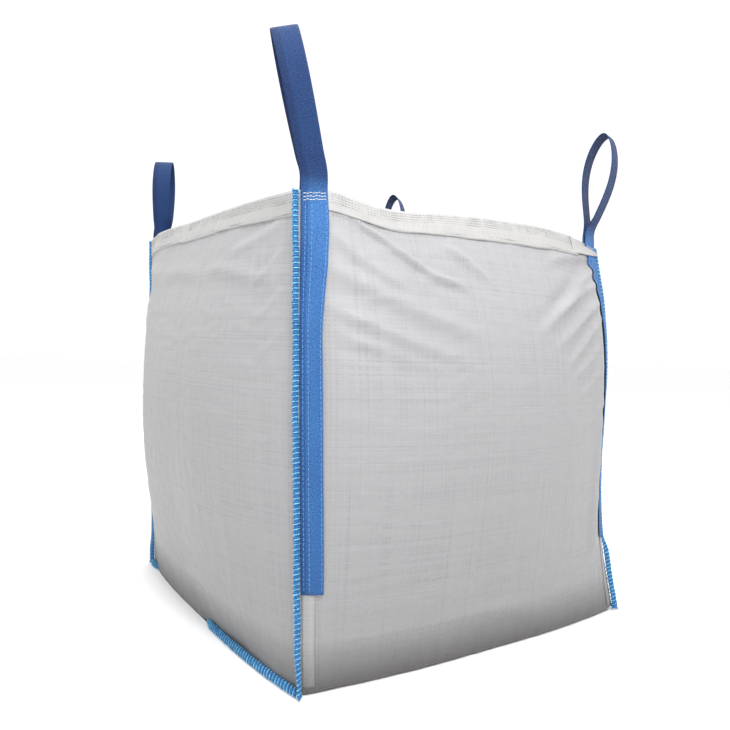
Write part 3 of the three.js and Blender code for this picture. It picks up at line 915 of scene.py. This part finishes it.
def hem_stitches(face):
    """Rows along the hem, clear of the webbing or the seams at its ends."""
    rows = []
    width = face_width(face)
    margin = 0.062 if face in ("front", "back") else 0.012
    for up_from in HEM_STITCH_ROWS:
        s = margin
        up = HEM_UP + up_from / WALL_HEIGHT
        while s < HEM_ENDS[face][1] * width - margin * (face != "front"):
            rows.append(((s / width, up), ((s + HEM_STITCH["length"]) / width, up), HEM_STITCH_LIFT))
            s += HEM_STITCH["pitch"]
    piece = stitches(f"hem_stitches_{face}", face, rows, HEM_STITCH["radius"], HEM_THREAD)
    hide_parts(f"hem_stitch_{face}")
    return piece


def beside(line, out, distance, reach, depth):
    """Points at distances along a seam line, moved by reach along out and by depth across it."""
    length = distance_along(line)
    flat = unit(np.cross(unit(np.gradient(line, axis=0)), out))
    centre, outward, sideways = (
        np.stack([np.interp(distance, length, v[:, k]) for k in range(3)], axis=-1)
        for v in (line, out, flat)
    )
    return centre + outward * np.asarray(reach)[..., None] + sideways * np.asarray(depth)[..., None]


def seam_core(line, out, width):
    """Points and faces of the flat core of an overlocked edge."""
    total = distance_along(line)[-1]
    steps = max(3, int(total / CORE_STEP))
    distance = np.linspace(0, total, steps)
    ripple = 1 + 0.10 * noise(distance / 0.008, 0.0, 8)
    rings = []
    for angle in np.linspace(0, 2 * math.pi, CORE_SIDES, endpoint=False):
        reach = width * (0.5 + 0.42 * math.cos(angle)) * np.ones(steps)
        rings.append(beside(line, out, distance, reach, 0.0020 * ripple * math.sin(angle)))
    return np.stack(rings, axis=1).reshape(-1, 3), ring_faces(0, steps, CORE_SIDES)


def wound_thread(line, out, width, pitch, phase, reach, depth):
    """The path of one thread wound round the core, one turn in each pitch."""
    total = distance_along(line)[-1]
    distance = np.linspace(0, total, int(total / pitch) * TURN_POINTS)
    angle = 2 * math.pi * distance / pitch + phase + 0.5 * noise(distance / 0.02, distance, phase)
    wobble = 1 + 0.12 * noise(distance / 0.006, phase, 5)
    lean = 0.0016 * np.sin(angle + 1.2)
    return beside(line, out, distance + lean, 0.5 * width + reach * wobble * np.cos(angle),
                  depth * wobble * np.sin(angle))


def overlock(name, line, out, nodes, width, pitch):
    """A chunky overlocked edge: a flat core with two threads wound round it.
    line is the seam, and out the direction that the edge stands in at each point."""
    out = unit(out)
    core_points, core_faces = seam_core(line, out, width)
    dark = wound_thread(line, out, width, pitch, 0.0, 0.46 * width, 0.0027)
    points, faces = tube([dark], 0.00125)
    shifted = [tuple(v + len(core_points) for v in face) for face in faces]
    base = new_object(f"{name}_core", list(core_points) + points, core_faces + shifted, SEAM_BLUE)
    bright = wound_thread(line, out, width, pitch, 2.2, 0.48 * width, 0.0031)
    points, faces = tube([bright], 0.00110)
    light = new_object(f"{name}_thread", points, faces, SEAM_CYAN)
    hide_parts(*nodes)
    return [base, light]


# The way each corner's overlocked edge lies: along the wall, and at its foot.
FINS = {
    "front_left": ((-1.0, -0.15, 0.0), (-0.9, -0.7, 0.0)),
    "front_right": ((0.85, 0.45, 0.0), (1.0, -0.7, 0.0)),
    "back_right": ((1.0, 0.6, 0.0), (1.0, 1.0, 0.0)),
    "back_left": ((-0.30, 1.0, 0.0), (-1.0, 0.5, 0.0)),
}


def corner_seam(corner):
    """The overlocked seam up a corner; its edge turns toward the floor seam at the foot."""
    up = np.linspace(0, 1, 200)
    line = corner_point(corner, up)
    foot = line[0].copy()
    foot[2] = 0.005
    line[:, 0] += 0.0012 * noise(up * 14, 0.0, 3)
    line = np.concatenate([[foot], line])
    turn_start, turn_end = (0.19, 0.14) if corner == "front_right" else (0.10, 0.02)
    low = smooth(turn_start, turn_end, line[:, 2])[:, None]
    wall, end = (np.array(v) for v in FINS[corner])
    out = wall * (1 - low) + end * low
    nodes = [f"corner_seam_{corner}"]
    return overlock(f"seam_{corner}", line, out, nodes, CORNER_SEAM_WIDTH, CORNER_SEAM_PITCH)


def base_seam(side):
    """The seam along the foot of a side panel; where the panel sags over it, it tucks under."""
    sign = -1 if side == "left" else 1
    across = np.linspace(0.003, 0.997, 220)
    under = tucked(side, across)
    line = smooth_face(side, across, np.zeros_like(across))
    line[:, 2] = FLOOR_SEAM_HEIGHT + 0.0045 * under
    line[:, 0] += sign * (0.001 - 0.010 * under)
    out = vector(sign * (0.75 - 0.95 * under), 0.0, -0.80)
    nodes = [f"base_seam_{side}"]
    return overlock(f"floor_seam_{side}", line, out, nodes, FLOOR_SEAM_WIDTH, FLOOR_SEAM_PITCH)


def knot(corner):
    """The crossed thread tails where the corner seam meets the floor seam."""
    foot = corner_point(corner, 0.0)
    sx, sy = CORNERS[corner]["side"]
    t = np.linspace(0, 1, 14)
    paths = []
    for k in range(KNOT_TAILS):
        angle = 0.9 * k - 1.2
        out = vector(sx, sy * 0.75, 0.0)
        turn = vector(-sy * math.sin(angle), sx * math.sin(angle), 0.0)
        reach = (0.003 + (0.007 + 0.002 * math.cos(3 * k)) * t)[:, None]
        curl = 0.0028 * np.sin(6 * t + k)[:, None]
        point = foot + out * reach + turn * curl
        point[:, 2] = 0.0035 + (0.0105 - 0.0025 * k) * (1 - t) + 0.0012 * k
        paths.append(point)
    points, faces = tube(paths, KNOT_THREAD)
    return new_object(f"knot_{corner}", points, faces, SEAM_BLUE)


# ---- Stage ---------------------------------------------------------------------------------
FLOOR_REACH = 30
FLOOR_COLOUR = (0.93, 0.93, 0.93, 1)
WORLD_STRENGTH = 1.06
# Lamps: place, target, side and power.
LAMPS = {
    "key": ((-0.7, -1.9, 2.5), (0.1, -0.2, 0.8), 1.1, 66),
    "fill": ((-2.6, -0.7, 2.2), (-0.4, 0.0, 0.8), 1.2, 14),
    "top": ((0.3, 0.3, 3.4), (0, 0, 0.5), 2.6, 60),
}


def area_light(name, place, target, side, power):
    """A square lamp that faces its target."""
    data = bpy.data.lights.new(name, "AREA")
    data.shape = "SQUARE"
    data.size = side
    data.energy = power
    light = bpy.data.objects.new(name, data)
    bpy.context.collection.objects.link(light)
    light.location = place
    light.rotation_euler = (Vector(target) - Vector(place)).to_track_quat("-Z", "Y").to_euler()


def stage():
    """A white floor that runs into a white world, and three soft lamps."""
    far = FLOOR_REACH
    corners = [(-far, -far, 0), (far, -far, 0), (far, far, 0), (-far, far, 0)]
    material, _, shader = principled("floor", 0.9)
    shader.inputs["Base Color"].default_value = FLOOR_COLOUR
    new_object("floor", corners, [(0, 1, 2, 3)], material)
    world = bpy.data.worlds.new("world")
    bpy.context.scene.world = world
    world.use_nodes = True
    background = world.node_tree.nodes["Background"]
    background.inputs[0].default_value = (1, 1, 1, 1)
    background.inputs[1].default_value = WORLD_STRENGTH
    for name, lamp in LAMPS.items():
        area_light(name, *lamp)
    bpy.context.scene.view_settings.view_transform = "Standard"


make_camera()
stage()

cloth, cloth_length = u_panel()
sides = {side: side_panel(side) for side in ("left", "right")}
hems = {face: rim_hem(face) for face in FACES}
root_pieces = [cloth, *sides.values(), *hems.values()]
threads = []
folds = []
for face_name in ("front", "back"):
    for first in (True, False):
        corner_name = FACES[face_name][0 if first else 1]
        webbing(corner_name, face_name, first)
        threads.append(strap_stitches(corner_name, face_name, first))
        threads.append(cross_stitches(corner_name, face_name, first))
        folds.append(edge_fold(corner_name, face_name, first))
threads += [hem_stitches(face) for face in FACES]
seams = [piece for corner in CORNERS for piece in corner_seam(corner)]
seams += [piece for side in ("left", "right") for piece in base_seam(side)]
seams += [knot(corner) for corner in CORNERS]
flap = hem_flap()
root_pieces += [flap, *folds]

for piece in root_pieces + threads + seams:
    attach(piece, "root")

bpy.context.view_layer.update()
